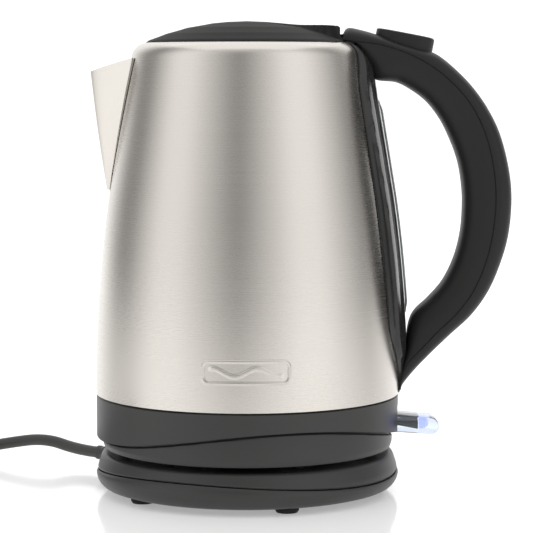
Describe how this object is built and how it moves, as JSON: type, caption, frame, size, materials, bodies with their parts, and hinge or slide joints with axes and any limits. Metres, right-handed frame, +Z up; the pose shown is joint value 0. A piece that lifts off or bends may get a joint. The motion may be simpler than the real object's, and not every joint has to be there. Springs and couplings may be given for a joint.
{
  "type": "electric kettle",
  "caption": "Cordless electric kettle with a steel jug, hinged lid, push button, loop handle and lit switch lever, on a round power base with its lead.",
  "frame": {"origin": "centre axis of the power base, on the table plane under its feet", "axes": "+Z up along the base's axis, +X towards the handle, -X towards the spout"},
  "size_m": [0.3896, 0.1703, 0.2431],
  "materials": {
    "brushed_steel": "brushed",
    "plain_steel": "satin",
    "grey_moulding": "satin",
    "dark_moulding": "satin",
    "contact_metal": "polished",
    "rubber": "matte",
    "cord_sleeve": "satin",
    "clear_window": "polished",
    "clear_lever": "polished",
    "blue_lamp": "lit"
  },
  "bodies": {
    "power_base": {"base_lower_shell": "grey_moulding", "base_upper_shell": "grey_moulding", "base_socket": "dark_moulding", "socket_contacts": "contact_metal", "base_feet": "rubber", "base_screws": "plain_steel", "cord_clamp": "dark_moulding", "clamp_screws": "plain_steel", "inner_cord": "cord_sleeve", "base_leads": "cord_sleeve", "strain_relief": "cord_sleeve", "power_cord": "cord_sleeve", "cord_coil": "cord_sleeve", "cord_tie": "cord_sleeve", "cord_tail": "cord_sleeve", "plug_body": "cord_sleeve", "plug_pins": "contact_metal", "plug_earth_contacts": "contact_metal"},
    "kettle_connector": {"connector_housing": "dark_moulding", "connector_pin": "contact_metal", "contact_rings": "contact_metal"},
    "kettle": {"steel_body": "brushed_steel", "spout": "brushed_steel", "rim_collar": "dark_moulding", "filter_frame": "dark_moulding", "filter_mesh": "plain_steel", "heating_plate": "brushed_steel", "heating_element": "plain_steel", "control_housing": "dark_moulding", "bimetal_disc": "plain_steel", "base_skirt": "grey_moulding", "kettle_bottom_cover": "grey_moulding", "kettle_feet": "rubber", "bottom_screws": "plain_steel", "handle_outer": "dark_moulding", "handle_inner": "dark_moulding", "handle_spine": "grey_moulding", "handle_screws": "plain_steel", "water_window": "clear_window", "window_seal": "rubber", "steam_tube": "rubber", "hinge_pin": "plain_steel", "hinge_spring": "plain_steel", "button_spring": "plain_steel", "latch_spring": "plain_steel", "lever_bracket": "dark_moulding"},
    "lid": {"lid_cover": "dark_moulding", "lid_inner": "dark_moulding", "lid_seal": "rubber", "lid_screws": "plain_steel"},
    "button": {"lid_button": "dark_moulding"},
    "latch": {"latch_slider": "dark_moulding"},
    "lever": {"switch_lever": "clear_lever", "lamp_holder": "dark_moulding", "indicator_lamp": "blue_lamp"}
  },
  "joints": [
    {"name": "kettle_lift", "type": "slide", "parent": "power_base", "child": "kettle_connector", "axis": [0, 0, 1], "range_m": [0, 0.1]},
    {"name": "kettle_swivel", "type": "hinge", "parent": "kettle_connector", "child": "kettle", "pos_m": [0, 0, 0.035], "axis": [0, 0, 1], "continuous": true},
    {"name": "lid_open", "type": "hinge", "parent": "kettle", "child": "lid", "pos_m": [0.057, 0, 0.233], "axis": [0, 1, 0], "range_deg": [0, 70]},
    {"name": "button_press", "type": "slide", "parent": "kettle", "child": "button", "axis": [-0.1874, 0, -0.9823], "range_m": [0, 0.003], "stiffness_N_per_m": 300, "deforming": ["button_spring"]},
    {"name": "latch_slide", "type": "slide", "parent": "kettle", "child": "latch", "axis": [1, 0, 0], "range_m": [0, 0.003], "deforming": ["latch_spring"]},
    {"name": "switch_rock", "type": "hinge", "parent": "kettle", "child": "lever", "pos_m": [0.062, 0, 0.036], "axis": [0, -1, 0], "range_deg": [0, 10]}
  ],
  "couplings": [
    {"joint": "latch_slide", "follows": "button_press", "ratio": 1}
  ]
}
